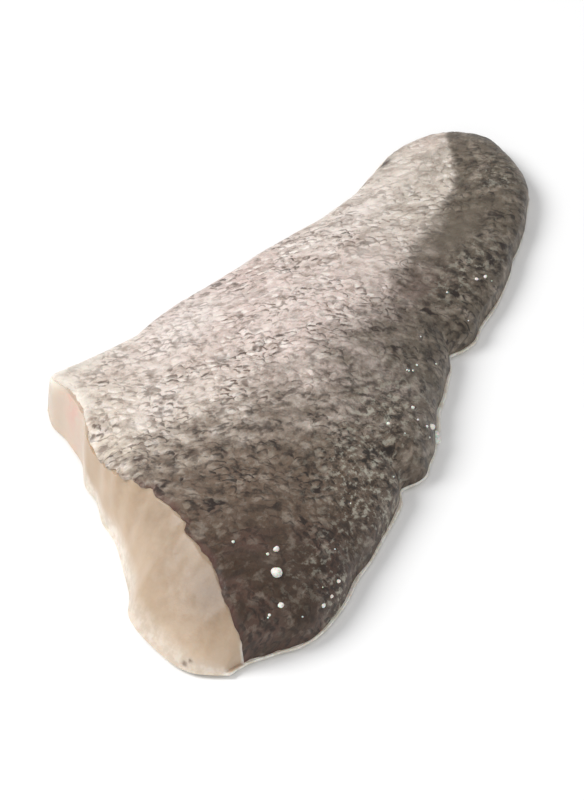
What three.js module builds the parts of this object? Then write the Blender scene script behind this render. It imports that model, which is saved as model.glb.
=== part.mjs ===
// A skin-on hake fillet, lying on its flesh side with the skin up.
//
// Millimetres. +X runs along the fillet to the tail, +Y to the belly edge, +Z up.
// The origin is under the middle of the fillet, on the plane that the flesh rests on.
//
// The plan view is one patch between four edges: the slanted cut at the head end, the back edge,
// the belly edge and the blunt tail.  Every point of the fillet is found from two numbers:
//   s: 0 at the head cut, 1 at the tail;   t: 0 at the back edge, 1 at the belly edge.
import * as THREE from 'three';

// ---- driving dimensions, in millimetres ----
const HEAD_THICKNESS = 18.6;      // crown of the flesh behind the head cut
const MIDDLE_THICKNESS = 16.4;
const TAIL_THICKNESS = 7.6;       // crown of the flesh just before the tail rounds down
const SKIN_THICKNESS = 0.8;
const CREST_AT = 0.36;            // where the crown lies, as a share of the width from the back

const BACK_EDGE_HEIGHT = 2.0;     // height at which the back starts to swell up from its edge
const BELLY_EDGE_HEIGHT = 3.4;    // top of the belly edge along the tail half
const BELLY_FLAP_RISE = 5.2;      // how much thicker the belly edge is at the head end
const TAIL_EDGE_HEIGHT = 2.8;     // the same round the tail
const BARE_RIM_HEIGHT = 1.4;      // thin rim of flesh that shows below the skin, back and tail
const CUT_RIM_HEIGHT = 1.5;       // top of the thin rim at the foot of the cut face
const EDGE_UNDERCUT = 0.7;        // how far the lower edge stands off the table
const UNDERCUT_REACH = 5.5;       // how far in from the edge the flesh meets the table

const BACK_MARGIN = 0.5;          // width of that rim
const BELLY_MARGIN = 1.2;         // flesh left bare outside the skin along the belly
const FLAP_MARGIN = 2.6;          // the same at the head end of the belly
const MARGIN_WAVE = 0.45;         // how much the bare margins vary
const BELLY_ROLL = 0.5;           // share of the belly edge's height where it has rolled over
const LIP_ROLL = 0.7;             // the same at the head cut
const ROLL_BEYOND_MARGIN = 0.6;   // how far that roll reaches in under the skin
const LIP_SWELL = 1.7;            // how much the belly corner of the head cut swells up
const LIP_SWELL_FROM = 0.84;      // where across the width that swelling starts, and is whole
const LIP_SWELL_TO = 0.97;
const LIP_LENGTH = 24;            // how far it fades out along the belly
const SKIN_STEP_RUN = 0.35;       // plan width of the step up from flesh to skin
const TAIL_ROUNDING = 15;         // length over which the tail rounds down

const GROOVE_DEPTH = 1.1;         // seam along the middle of the flesh side
const GROOVE_HALF_WIDTH = 4.2;
const SEAM_AT = 0.46;             // where the seam lies, as a share of the width from the back

// ---- the four edges of the plan view ----
const HEAD_CUT = edge([-97.6, -35.6], [-100.8, -28], [-98.8, -17.5], [-92.6, -7.6], [-84.2, -2.2],
  [-70.6, 11.6], [-60.6, 23.6], [-53.5, 30.1], [-48.2, 37], [-45.8, 42.4], [-42, 46]);
const TAIL_END = edge([85.4, -13.2], [90.3, -8.8], [95.6, -1.2], [98.8, 6.6], [97.2, 15.8]);
const BACK_EDGE = edge([-97.6, -35.6], [-92, -37.8], [-81, -45.4], [-68, -46.8], [-44, -43.6],
  [-5, -36.6], [19, -27.9], [45, -25.8], [70, -19.2], [85.4, -13.2]);
const BELLY_EDGE = edge([-42, 46], [-38, 47], [-31, 44], [-15, 40.2], [1, 39.2], [27, 33],
  [49, 26.6], [64, 24], [82, 24.6], [91.4, 21.2], [97.2, 15.8]);

// Torn places of the back edge: where along X, how far inwards, and how long.
const BACK_NICKS = [
  { x: -86, depth: 0.5, reach: 2.4 },
  { x: -57, depth: 0.6, reach: 5 },
  { x: -25.5, depth: 1.9, reach: 2.8 },
  { x: -18, depth: -1.7, reach: 4 },
  { x: -11, depth: -1.1, reach: 4 },
  { x: 3, depth: 1.1, reach: 4 },
  { x: 22, depth: 1.9, reach: 2.6 },
  { x: 30, depth: -1.2, reach: 4 },
  { x: 62, depth: 0.6, reach: 3 },
];

// How far the flesh of the head cut runs out from under the skin, against t.
// It is a broad lens at the back, turns upright past the crown, and is a rolled lip at the belly corner.
const CUT_RUN = edge([0, 4.5], [0.08, 10.4], [0.16, 14.6], [0.24, 15.9], [0.32, 14], [0.42, 10],
  [0.5, 6], [0.58, 2.4], [0.67, 1.5], [0.76, 1.6], [0.88, 2.8], [1, 2.6]);
const LIP_FROM = 0.72;

// The flap sags a little just behind the upright part of the cut.
const SAG_DEPTH = 3;
const SAG_AT = 0.66;
const SAG_HALF_WIDTH = 0.1;
const SAG_LENGTH = 12;

// ---- mesh density ----
const BEVEL_ROWS = [0, 0.1, 0.26, 0.44, 0.62, 0.8, 0.93, 1];
const SKIN_ROWS = 72;
const SKIN_COLUMNS = 26;

const { lerp, smoothstep, clamp } = THREE.MathUtils;

function edge(...points) {
  return new THREE.SplineCurve(points.map(([x, y]) => new THREE.Vector2(x, y)));
}

// The height of a spline drawn over 0..1, read at t.
function readCurve(curve, t) {
  let low = 0;
  let high = 1;
  for (let step = 0; step < 24; step += 1) {
    const middle = (low + high) / 2;
    if (curve.getPoint(middle).x < t) low = middle;
    else high = middle;
  }
  return curve.getPoint(low).y;
}

// The patch between the four edges.
function patch(s, t) {
  const cut = HEAD_CUT.getPointAt(t);
  const tail = TAIL_END.getPointAt(t);
  const back = BACK_EDGE.getPointAt(s);
  const belly = BELLY_EDGE.getPointAt(s);
  const across = (key) => lerp(back[key], belly[key], t);
  const along = (key) => lerp(cut[key], tail[key], s);
  const corners = (key) => lerp(
    lerp(HEAD_CUT.points[0][key], HEAD_CUT.points.at(-1)[key], t),
    lerp(TAIL_END.points[0][key], TAIL_END.points.at(-1)[key], t), s);
  const at = (key) => across(key) + along(key) - corners(key);
  return new THREE.Vector2(at('x'), at('y'));
}

// The patch with the torn places of the back edge, and a faint scallop along the head cut.
function plan(s, t) {
  const p = patch(s, t);
  const nearBack = Math.exp(-((t / 0.1) ** 2));
  const nearEnds = smoothstep(s, 0, 0.03) * (1 - smoothstep(s, 0.93, 0.98));
  for (const nick of BACK_NICKS) {
    p.y += nick.depth * nearBack * nearEnds * Math.exp(-(((p.x - nick.x) / nick.reach) ** 2));
  }
  const nearCut = (1 - s) ** 40 * Math.sin(Math.PI * t);
  p.x += 0.6 * nearCut * Math.sin(31 * t + 2.2 * Math.sin(9 * t));
  return p;
}

const widthAt = (s) => patch(s, 0).distanceTo(patch(s, 1));
const lengthAt = (t) => patch(0, t).distanceTo(patch(1, t));

// Where the skin starts behind the cut, as an s value.
function skinStart(t) {
  const ragged = 0.5 * Math.sin(43 * t) + 0.35 * Math.sin(97 * t + 1);
  return (readCurve(CUT_RUN, t) + ragged * Math.sin(Math.PI * t)) / lengthAt(t);
}

// Bare flesh margins along the back and the belly, in millimetres.
function backMargin(s) {
  return BACK_MARGIN + 0.5 * MARGIN_WAVE * (Math.sin(37 * s) + 0.6 * Math.sin(83 * s + 2)) / 1.6;
}

function bellyMargin(s) {
  const margin = lerp(FLAP_MARGIN, BELLY_MARGIN, smoothstep(s, 0, 0.12));
  return margin + MARGIN_WAVE * (Math.sin(29 * s + 1) + 0.6 * Math.sin(71 * s)) / 1.6;
}

// ---- heights ----

// The crown of the flesh along the length, before the tail rounds down.
function crown(s) {
  const front = lerp(HEAD_THICKNESS, MIDDLE_THICKNESS, smoothstep(s, 0, 0.5));
  return lerp(front, TAIL_THICKNESS, smoothstep(s, 0.36, 0.96));
}

// The dome across the width: full at the back, thinner towards the belly.
function dome(t) {
  const w = t < CREST_AT ? (CREST_AT - t) / CREST_AT : (t - CREST_AT) / (1 - CREST_AT);
  const fullness = lerp(0.56, 0.82, smoothstep(t, CREST_AT - 0.2, CREST_AT + 0.3));
  return Math.max(0, 1 - w ** 2.15) ** fullness;
}

function edgeHeight(s, t) {
  const belly = BELLY_EDGE_HEIGHT + BELLY_FLAP_RISE * (1 - smoothstep(s, 0, 0.42));
  const sides = lerp(BACK_EDGE_HEIGHT, belly, smoothstep(t, 0, 1));
  return lerp(sides, TAIL_EDGE_HEIGHT, smoothstep(s, 0.8, 1));
}

function tailRounding(s, t) {
  const left = (1 - s) * lengthAt(t) / TAIL_ROUNDING;
  return left >= 1 ? 1 : Math.sqrt(Math.max(0, 1 - (1 - left) ** 2.2));
}

// Low swellings and hollows of the frozen flesh.
function unevenness(x, y) {
  const broad = 0.45 * Math.sin(x / 15.5 + 0.7) * Math.sin(y / 10.5 + 0.9);
  const small = 0.24 * Math.sin(x / 6.1 + 1.4 * Math.sin(y / 9)) * Math.sin(y / 5.3 - 0.4);
  return broad + small;
}

function sag(s, t) {
  const behind = 1 - smoothstep(s * lengthAt(t), 0.15 * SAG_LENGTH, SAG_LENGTH);
  return SAG_DEPTH * behind * Math.exp(-(((t - SAG_AT) / SAG_HALF_WIDTH) ** 2));
}

const nearLip = (s, t) => 1 - smoothstep(s * lengthAt(t), 0, LIP_LENGTH);

// The belly edge rolls over outwards, from just under the skin to its outermost line.
function bellyRoll(s, t) {
  const reach = bellyMargin(s) + ROLL_BEYOND_MARGIN;
  const inwards = Math.min(1, (1 - t) * widthAt(s) / reach);
  const outermost = lerp(BELLY_ROLL, LIP_ROLL, nearLip(s, t));
  return lerp(outermost, 1, Math.sqrt(1 - (1 - inwards) ** 2));
}

function fleshTop(s, t) {
  const base = edgeHeight(s, t);
  const shape = dome(t) * tailRounding(s, t);
  const p = patch(s, t);
  const even = base + (crown(s) - base) * shape + unevenness(p.x, p.y) * Math.sqrt(shape);
  const lip = LIP_SWELL * nearLip(s, t) * smoothstep(t, LIP_SWELL_FROM, LIP_SWELL_TO);
  return (even + lip - sag(s, t)) * bellyRoll(s, t);
}

// The face of the head cut: a slope at the back, a full round roll at the lip.
function cutFace(share, t, top) {
  const roll = lerp(1.12, 2.1, smoothstep(t, LIP_FROM - 0.04, LIP_FROM + 0.08));
  const rise = (1 - (1 - share) ** roll) ** (1 / roll);
  const flakes = 0.15 * Math.sin(26 * t + 5 * share) * Math.sin(Math.PI * share);
  return lerp(CUT_RIM_HEIGHT, top, rise) + flakes;
}

// The flesh side: flat where it rests, eased up at the edges, with a shallow seam to the tail.
function underside(s, t) {
  const fromSides = Math.min(t, 1 - t) * widthAt(s);
  const fromEnds = Math.min(s, 1 - s) * lengthAt(t);
  const inwards = clamp(Math.min(fromSides, fromEnds) / UNDERCUT_REACH, 0, 1);
  const eased = EDGE_UNDERCUT * (1 - inwards) ** 2;
  const off = (t - SEAM_AT) * widthAt(s) / GROOVE_HALF_WIDTH;
  const along = smoothstep(s, 0.3, 0.45) * (1 - smoothstep(s, 0.86, 0.97));
  const seam = Math.abs(off) < 1 ? GROOVE_DEPTH * along * Math.cos(off * Math.PI / 2) ** 2 : 0;
  return eased + seam;
}

// ---- the grid of the fillet ----

// Columns from the back edge to the belly edge, closer together towards both.
function columnsAt(s) {
  const width = widthAt(s);
  const start = backMargin(s) / width;
  const end = 1 - bellyMargin(s) / width;
  const step = SKIN_STEP_RUN / width;
  const columns = [0, start];
  for (let column = 0; column <= SKIN_COLUMNS; column += 1) {
    const even = column / SKIN_COLUMNS;
    const bunched = 0.5 - 0.5 * Math.cos(Math.PI * even);
    columns.push(lerp(start + step, end - step, lerp(even, bunched, 0.55)));
  }
  columns.push(end, 1);
  return columns;
}

// Rows from the foot of the cut to the tail, each a rule that gives s for a column's t.
function buildRows() {
  const rows = BEVEL_ROWS.map((share) => ({ share, s: (t) => skinStart(t) * share }));
  const end = (t) => 1 - BACK_MARGIN / lengthAt(t);
  const step = (t) => SKIN_STEP_RUN / lengthAt(t);
  for (let row = 0; row <= SKIN_ROWS; row += 1) {
    const share = row / SKIN_ROWS;
    const s = (t) => lerp(skinStart(t) + step(t), end(t) - step(t), share);
    rows.push({ skin: true, s });
  }
  rows.push({ rim: true, s: end });
  rows.push({ rim: true, s: () => 1 });
  return rows;
}

// The top of the flesh at a point of the grid. The two outermost columns at the back are its bare rim.
function topHeight(row, column, s, t) {
  if (row.rim || (row.skin && column < 2)) return BARE_RIM_HEIGHT;
  if (row.skin) return fleshTop(s, t);
  return cutFace(row.share, t, column < 2 ? BARE_RIM_HEIGHT : fleshTop(skinStart(t), t));
}

function buildGrid() {
  const top = [];
  const bottom = [];
  for (const row of buildRows()) {
    const columns = columnsAt(row.s(0.5));
    const last = columns.length - 1;
    const topLine = [];
    const bottomLine = [];
    columns.forEach((t, column) => {
      const s = row.s(t);
      const p = plan(s, t);
      const skin = row.skin && column > 1 && column < last - 1 ? SKIN_THICKNESS : 0;
      topLine.push(new THREE.Vector3(p.x, p.y, topHeight(row, column, s, t) + skin));
      bottomLine.push(new THREE.Vector3(p.x, p.y, underside(s, t)));
    });
    top.push(topLine);
    bottom.push(bottomLine);
  }
  return { top, bottom };
}

// ---- one closed mesh from the two sheets and the narrow wall between them ----
function closedGeometry({ top, bottom }) {
  const rowCount = top.length;
  const columnCount = top[0].length;
  const sheetSize = rowCount * columnCount;
  const positions = [...top.flat(), ...bottom.flat()].flatMap((v) => v.toArray());
  const indices = [];
  const upper = (i, j) => i * columnCount + j;
  const lower = (i, j) => sheetSize + i * columnCount + j;
  const quad = (a, b, c, d) => indices.push(a, b, c, a, c, d);
  for (let i = 0; i < rowCount - 1; i += 1) {
    for (let j = 0; j < columnCount - 1; j += 1) {
      quad(upper(i, j), upper(i + 1, j), upper(i + 1, j + 1), upper(i, j + 1));
      quad(lower(i, j), lower(i, j + 1), lower(i + 1, j + 1), lower(i + 1, j));
    }
  }
  const m = rowCount - 1;
  const n = columnCount - 1;
  for (let i = 0; i < m; i += 1) {
    quad(upper(i + 1, 0), upper(i, 0), lower(i, 0), lower(i + 1, 0));
    quad(upper(i, n), upper(i + 1, n), lower(i + 1, n), lower(i, n));
  }
  for (let j = 0; j < n; j += 1) {
    quad(upper(0, j), upper(0, j + 1), lower(0, j + 1), lower(0, j));
    quad(upper(m, j + 1), upper(m, j), lower(m, j), lower(m, j + 1));
  }
  const geometry = new THREE.BufferGeometry();
  geometry.setAttribute('position', new THREE.Float32BufferAttribute(positions, 3));
  geometry.setIndex(indices);
  return geometry;
}

// Puts the middle of the fillet over the origin.
function centred(geometry) {
  geometry.computeBoundingBox();
  const middle = geometry.boundingBox.getCenter(new THREE.Vector3());
  geometry.translate(-middle.x, -middle.y, 0);
  geometry.computeVertexNormals();
  return geometry;
}

const fillet = new THREE.Mesh(
  centred(closedGeometry(buildGrid())),
  new THREE.MeshStandardMaterial({ color: 0x8d8279, roughness: 0.45, metalness: 0 }),
);
fillet.name = 'fillet';

const model = new THREE.Group();
model.add(fillet);
export default model;
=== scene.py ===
import math

import bpy
import numpy as np
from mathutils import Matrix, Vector


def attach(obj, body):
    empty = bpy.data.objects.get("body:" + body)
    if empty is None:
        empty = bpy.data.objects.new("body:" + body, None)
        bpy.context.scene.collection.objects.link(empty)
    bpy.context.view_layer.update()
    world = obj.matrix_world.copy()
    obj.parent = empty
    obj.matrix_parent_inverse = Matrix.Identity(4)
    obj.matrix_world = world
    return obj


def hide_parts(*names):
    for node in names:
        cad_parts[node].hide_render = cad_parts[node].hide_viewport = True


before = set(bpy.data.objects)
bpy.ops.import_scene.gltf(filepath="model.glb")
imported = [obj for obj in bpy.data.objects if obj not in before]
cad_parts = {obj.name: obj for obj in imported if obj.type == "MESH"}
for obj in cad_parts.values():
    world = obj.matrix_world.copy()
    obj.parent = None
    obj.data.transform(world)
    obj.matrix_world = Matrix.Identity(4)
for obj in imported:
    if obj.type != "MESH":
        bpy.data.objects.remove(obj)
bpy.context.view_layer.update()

# A skin-on hake fillet lying on its flesh side. Forms are worked out in millimetres, in the same
# plan as the solid: s runs from the head cut (0) to the tail (1), t from the back (0) to the belly (1).
# A pair such as LIP_SWELLS is a span: where a change starts, and where it is whole.
MM = 0.001

# ---- sizes of the fillet, in millimetres ----
LENGTH = 200
HEAD_CUT_LENGTH = 90  # about, for noise that runs along these edges
BELLY_LENGTH = 150
HEAD_THICKNESS = 18.6  # crown of the flesh behind the head cut
MIDDLE_THICKNESS = 16.4
TAIL_THICKNESS = 7.6  # crown just before the tail rounds down
SKIN_THICKNESS = 0.8
BACK_EDGE_HEIGHT = 2.0  # where the back starts to swell up from its edge
BELLY_EDGE_HEIGHT = 3.4
BELLY_FLAP_RISE = 5.2  # how much thicker the belly edge is at the head end
TAIL_EDGE_HEIGHT = 2.8
BARE_RIM_HEIGHT = 1.4  # the thin rim of flesh that shows below the skin, along the back and the tail
CUT_RIM_HEIGHT = 1.5  # the same at the foot of the cut
EDGE_UNDERCUT = 0.7  # how far the lower edge stands off the table
UNDERCUT_REACH = 5.5
BACK_MARGIN = 0.5  # flesh left bare outside the skin
BELLY_MARGIN = 1.2
FLAP_MARGIN = 2.6  # the same at the head end of the belly
MARGIN_WAVE = 0.45
ROLL_BEYOND_MARGIN = 0.6  # how far the rolled belly edge reaches in under the skin
LIP_SWELL = 1.7  # how much the belly corner of the head cut swells up
LIP_LENGTH = 24
SKIN_STEP_RUN = 0.35
TAIL_ROUNDING = 15
GROOVE_DEPTH = 1.1  # the seam along the middle of the flesh side
GROOVE_HALF_WIDTH = 4.2
SAG_DEPTH = 3
SAG_LENGTH = 12
CUT_SCALLOP = 0.6
FLAKE_RELIEF = 0.15
# Low swellings and hollows of the frozen flesh: how high, and how long along X and Y.
BROAD_SWELL, BROAD_X, BROAD_Y = 0.45, 15.5, 10.5
SMALL_SWELL, SMALL_X, SMALL_Y = 0.24, 6.1, 5.3
MIDDLE = np.array([-1.0446, 0.0714])  # the drawing's middle, which goes over the origin

# ---- places and changes, as shares of the length or the width ----
CREST_AT = 0.36
SEAM_AT = 0.46
SAG_AT = 0.66
SAG_HALF_WIDTH = 0.1
SAG_WHOLE_BY = 0.15
LIP_FROM = 0.72
NICKS_REACH = 0.1  # how far across the notches of the back edge are felt
NICKS_START, NICKS_END = (0, 0.03), (0.93, 0.98)
SCALLOP_FADE = 40
SCALLOP_PITCH, SCALLOP_SWAY, SWAY_PITCH = 31, 2.2, 9
FLAKE_PITCH, FLAKE_LEAN = 26, 5
BELLY_ROLL = 0.5  # share of the belly edge's height where it has rolled over
LIP_ROLL = 0.7
LIP_SWELLS = (0.84, 0.97)
FLAP_MARGIN_ENDS = (0, 0.12)
FRONT_THINS = (0, 0.5)
TAIL_THINS = (0.36, 0.96)
FLAP_THINS = (0, 0.42)
TAIL_EDGE_SETS_IN = (0.8, 1)
FULLNESS_CHANGES = (CREST_AT - 0.2, CREST_AT + 0.3)
BACK_FULLNESS, BELLY_FULLNESS = 0.56, 0.82
DOME_POWER, TAIL_POWER = 2.15, 2.2
CUT_ROUNDING, LIP_ROUNDING = 1.12, 2.1
LIP_ROUNDS = (LIP_FROM - 0.04, LIP_FROM + 0.08)
SEAM_STARTS, SEAM_ENDS = (0.3, 0.45), (0.86, 0.97)
RIM_STEP = (0.15, 0.8)  # millimetres from the margin, over which the flesh steps up from its rim

# Wavering lines, as sine waves: height, pitch and shift.
SKIN_START_WAVES = [(0.5, 43, 0), (0.35, 97, 1)]
BACK_WAVES = [(0.625, 37, 0), (0.375, 83, 2)]
BELLY_WAVES = [(0.625, 29, 1), (0.375, 71, 0)]

# ---- fine sizes that only the look needs, in millimetres ----
SCALE_LENGTH = 3.7  # one scale pocket along the fish
SCALE_WIDTH = 3.3  # and across it
SCALE_ROWS_LEAN = 0.12
POCKET_RELIEF = 0.17
POCKET_CURVE = 0.9
POCKET_RISES, POCKET_DROPS = (0.0, 0.7), (0.78, 1.0)  # as shares of a pocket
POCKET_SINKS = 0.4  # share of the relief that lies below the skin's even form
SMOOTHING = 0.7  # how much of that goes where the skin is plain or worn
CHEVRON_PITCH = 6.5  # muscle lines of the flesh side
CHEVRON_SLANT = 0.75
CHEVRON_DEPTH = 0.22
CHEVRON_WIDTH = 0.28  # as a share of the sine wave that they are cut from
LINES_START = (1.0, 6.0)  # from the edge inwards
LIP_FOLDS = 0.14
FOLD_PITCH, FOLD_LEAN = 92, 1.5
WALL_BULGE = 0.45
SKIN_EDGE_DROP = 0.35  # how much the skin thins at its rim
SKIN_EDGE_DROPS, RELIEF_STARTS = (0.0, 1.6), (0.0, 1.2)  # from the rim inwards
SKIN_SINKS_IN = 0.12  # how far its inner face goes into the flesh

# Unevenness made of seeded noise: height, size, and which layer of the noise.
CUT_GRAIN = [(0.16, 3.1, 1), (0.08, 1.3, 2)]
CHEVRON_WANDER = [(1.4, 14, 3)]
TONE_WANDER = [(1.5, 9, 4), (0.9, 3.5, 5)]
SCALES_WANDER_ALONG, SCALES_WANDER_ACROSS = [(0.9, 17, 6), (0.4, 6, 7)], [(0.9, 15, 8), (0.35, 5, 9)]
SKIN_TORN_AT_CUT, SKIN_TORN_AT_BELLY = [(0.35, 1.7, 10), (0.25, 0.8, 11)], [(0.45, 2.3, 15), (0.3, 0.9, 16)]
WORN_BELLY_WANDER, WORN_LIP_WANDER, RAW_WANDER = [(1.5, 4, 12)], [(1, 3, 12)], [(0.6, 2, 13)]
SKIN_WRINKLES = [(0.10, 2.4, 17), (0.14, 6.5, 18)]
HANG_WANDER = [(0.3, 2.1, 19)]


# ---- smooth curves through a few points ----
def catmull(row, share):
    last = len(row) - 1
    place = np.clip(share, 0, 1) * last
    i = np.minimum(place.astype(int), last - 1)
    w = (place - i)[..., None]
    p0, p1 = row[np.maximum(i - 1, 0)], row[i]
    p2, p3 = row[i + 1], row[np.minimum(i + 2, last)]
    v0, v1 = (p2 - p0) / 2, (p3 - p1) / 2
    return (2 * p1 - 2 * p2 + v0 + v1) * w**3 + (3 * p2 - 3 * p1 - 2 * v0 - v1) * w**2 + v0 * w + p1


class Edge:
    """A smooth edge of the plan, walked at an even pace."""

    PACES = 2001

    def __init__(self, *rows):
        self.points = np.array(rows, dtype=float)
        self.share = np.linspace(0, 1, self.PACES)
        self.line = catmull(self.points, self.share)
        run = np.cumsum(np.linalg.norm(np.diff(self.line, axis=0), axis=1))
        self.run = np.concatenate([[0], run / run[-1]])

    def at(self, share):
        return catmull(self.points, np.interp(share, self.run, self.share))

    def height(self, along):
        return np.interp(along, self.line[:, 0], self.line[:, 1])


HEAD_CUT = Edge((-97.6, -35.6), (-100.8, -28), (-98.8, -17.5), (-92.6, -7.6), (-84.2, -2.2),
                (-70.6, 11.6), (-60.6, 23.6), (-53.5, 30.1), (-48.2, 37), (-45.8, 42.4), (-42, 46))
TAIL_END = Edge((85.4, -13.2), (90.3, -8.8), (95.6, -1.2), (98.8, 6.6), (97.2, 15.8))
BACK_EDGE = Edge((-97.6, -35.6), (-92, -37.8), (-81, -45.4), (-68, -46.8), (-44, -43.6),
                 (-5, -36.6), (19, -27.9), (45, -25.8), (70, -19.2), (85.4, -13.2))
BELLY_EDGE = Edge((-42, 46), (-38, 47), (-31, 44), (-15, 40.2), (1, 39.2), (27, 33),
                  (49, 26.6), (64, 24), (82, 24.6), (91.4, 21.2), (97.2, 15.8))
# How far the cut face runs out from under the skin, against t.
CUT_RUN = Edge((0, 4.5), (0.08, 10.4), (0.16, 14.6), (0.24, 15.9), (0.32, 14), (0.42, 10),
               (0.5, 6), (0.58, 2.4), (0.67, 1.5), (0.76, 1.6), (0.88, 2.8), (1, 2.6))
# Torn places of the back edge: where along X, how far inwards, and how long.
BACK_NICKS = [(-86, 0.5, 2.4), (-57, 0.6, 5), (-25.5, 1.9, 2.8), (-18, -1.7, 4), (-11, -1.1, 4),
              (3, 1.1, 4), (22, 1.9, 2.6), (30, -1.2, 4), (62, 0.6, 3)]


def lerp(a, b, share):
    return a + (b - a) * share


def step(x, low, high):
    """Rises smoothly from 0 at low to 1 at high."""
    share = np.clip((x - low) / (high - low), 0, 1)
    return share * share * (3 - 2 * share)


def around(x, y, middle, reach):
    """1 in the middle, fading out all round."""
    return np.exp(-(((x - middle[0]) / reach[0]) ** 2) - (((y - middle[1]) / reach[1]) ** 2))


def waves(place, rows):
    return sum(height * np.sin(pitch * place + shift) for height, pitch, shift in rows)


# ---- seeded smooth noise, from -1 to 1 ----
NOISE_CELLS = 256
NOISE_TABLE = np.random.default_rng(11).random((NOISE_CELLS, NOISE_CELLS)) * 2 - 1
LAYER_SHIFT = (17.3, 41.9)  # keeps one layer of noise clear of the next


def noise(x, y, size, layer=0):
    u, v = x / size + LAYER_SHIFT[0] * layer, y / size + LAYER_SHIFT[1] * layer
    i, j = np.floor(u).astype(int), np.floor(v).astype(int)
    fu, fv = u - i, v - j
    fu, fv = fu * fu * (3 - 2 * fu), fv * fv * (3 - 2 * fv)

    def corner(a, b):
        return NOISE_TABLE[(i + a) % NOISE_CELLS, (j + b) % NOISE_CELLS]

    near = lerp(corner(0, 0), corner(1, 0), fu)
    far = lerp(corner(0, 1), corner(1, 1), fu)
    return lerp(near, far, fv)


def rough(x, y, rows):
    return sum(height * noise(x, y, size, layer) for height, size, layer in rows)


# ---- the plan ----
def patch(s, t):
    """The smooth patch between the four edges."""
    s, t = np.broadcast_arrays(np.asarray(s, float), np.asarray(t, float))
    cut, tail, back, belly = HEAD_CUT.at(t), TAIL_END.at(t), BACK_EDGE.at(s), BELLY_EDGE.at(s)
    s, t = s[..., None], t[..., None]
    head_corners = lerp(HEAD_CUT.points[0], HEAD_CUT.points[-1], t)
    tail_corners = lerp(TAIL_END.points[0], TAIL_END.points[-1], t)
    return lerp(back, belly, t) + lerp(cut, tail, s) - lerp(head_corners, tail_corners, s)


def plan(s, t):
    """The patch with the torn places of the back edge, and a faint scallop along the head cut."""
    p = patch(s, t)
    near_back = np.exp(-((t / NICKS_REACH) ** 2))
    near_ends = step(s, *NICKS_START) * (1 - step(s, *NICKS_END))
    for x, depth, reach in BACK_NICKS:
        p[..., 1] += depth * near_back * near_ends * np.exp(-(((p[..., 0] - x) / reach) ** 2))
    near_cut = (1 - s) ** SCALLOP_FADE * np.sin(math.pi * t)
    p[..., 0] += CUT_SCALLOP * near_cut * np.sin(SCALLOP_PITCH * t + SCALLOP_SWAY * np.sin(SWAY_PITCH * t))
    return p


def width_at(s):
    return np.linalg.norm(patch(s, 0.0) - patch(s, 1.0), axis=-1)


def length_at(t):
    return np.linalg.norm(patch(0.0, t) - patch(1.0, t), axis=-1)


def skin_start(t):
    return (CUT_RUN.height(t) + waves(t, SKIN_START_WAVES) * np.sin(math.pi * t)) / length_at(t)


def back_margin(s):
    return BACK_MARGIN + 0.5 * MARGIN_WAVE * waves(s, BACK_WAVES)


def belly_margin(s):
    margin = lerp(FLAP_MARGIN, BELLY_MARGIN, step(s, *FLAP_MARGIN_ENDS))
    return margin + MARGIN_WAVE * waves(s, BELLY_WAVES)


# ---- heights ----
def crown(s):
    front = lerp(HEAD_THICKNESS, MIDDLE_THICKNESS, step(s, *FRONT_THINS))
    return lerp(front, TAIL_THICKNESS, step(s, *TAIL_THINS))


def dome(t):
    w = np.where(t < CREST_AT, (CREST_AT - t) / CREST_AT, (t - CREST_AT) / (1 - CREST_AT))
    fullness = lerp(BACK_FULLNESS, BELLY_FULLNESS, step(t, *FULLNESS_CHANGES))
    return np.maximum(0, 1 - np.abs(w) ** DOME_POWER) ** fullness


def edge_height(s, t):
    belly = BELLY_EDGE_HEIGHT + BELLY_FLAP_RISE * (1 - step(s, *FLAP_THINS))
    sides = lerp(BACK_EDGE_HEIGHT, belly, step(t, 0, 1))
    return lerp(sides, TAIL_EDGE_HEIGHT, step(s, *TAIL_EDGE_SETS_IN))


def tail_rounding(s, t):
    left = np.minimum(1, (1 - s) * length_at(t) / TAIL_ROUNDING)
    return np.sqrt(np.maximum(0, 1 - (1 - left) ** TAIL_POWER))


def unevenness(x, y):
    broad = BROAD_SWELL * np.sin(x / BROAD_X + 0.7) * np.sin(y / BROAD_Y + 0.9)
    small = SMALL_SWELL * np.sin(x / SMALL_X + 1.4 * np.sin(y / 9)) * np.sin(y / SMALL_Y - 0.4)
    return broad + small


def sag(s, t):
    behind = 1 - step(s * length_at(t), SAG_WHOLE_BY * SAG_LENGTH, SAG_LENGTH)
    return SAG_DEPTH * behind * np.exp(-(((t - SAG_AT) / SAG_HALF_WIDTH) ** 2))


def near_lip(s, t):
    return 1 - step(s * length_at(t), 0, LIP_LENGTH)


def belly_roll(s, t):
    inwards = np.clip((1 - t) * width_at(s) / (belly_margin(s) + ROLL_BEYOND_MARGIN), 0, 1)
    outermost = lerp(BELLY_ROLL, LIP_ROLL, near_lip(s, t))
    return lerp(outermost, 1, np.sqrt(1 - (1 - inwards) ** 2))


def flesh_top(s, t):
    base = edge_height(s, t)
    shape = dome(t) * tail_rounding(s, t)
    p = patch(s, t)
    even = base + (crown(s) - base) * shape + unevenness(p[..., 0], p[..., 1]) * np.sqrt(shape)
    lip = LIP_SWELL * near_lip(s, t) * step(t, *LIP_SWELLS)
    return (even + lip - sag(s, t)) * belly_roll(s, t)


def over_rim(s, t, top):
    """Lets the flesh drop to its thin bare rim, along the back and round the tail."""
    from_back = t * width_at(s) - back_margin(s)
    from_tail = (1 - s) * length_at(t) - BACK_MARGIN
    lift = step(from_back, *RIM_STEP) * step(from_tail, *RIM_STEP)
    return lerp(np.minimum(top, BARE_RIM_HEIGHT), top, lift)


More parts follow.
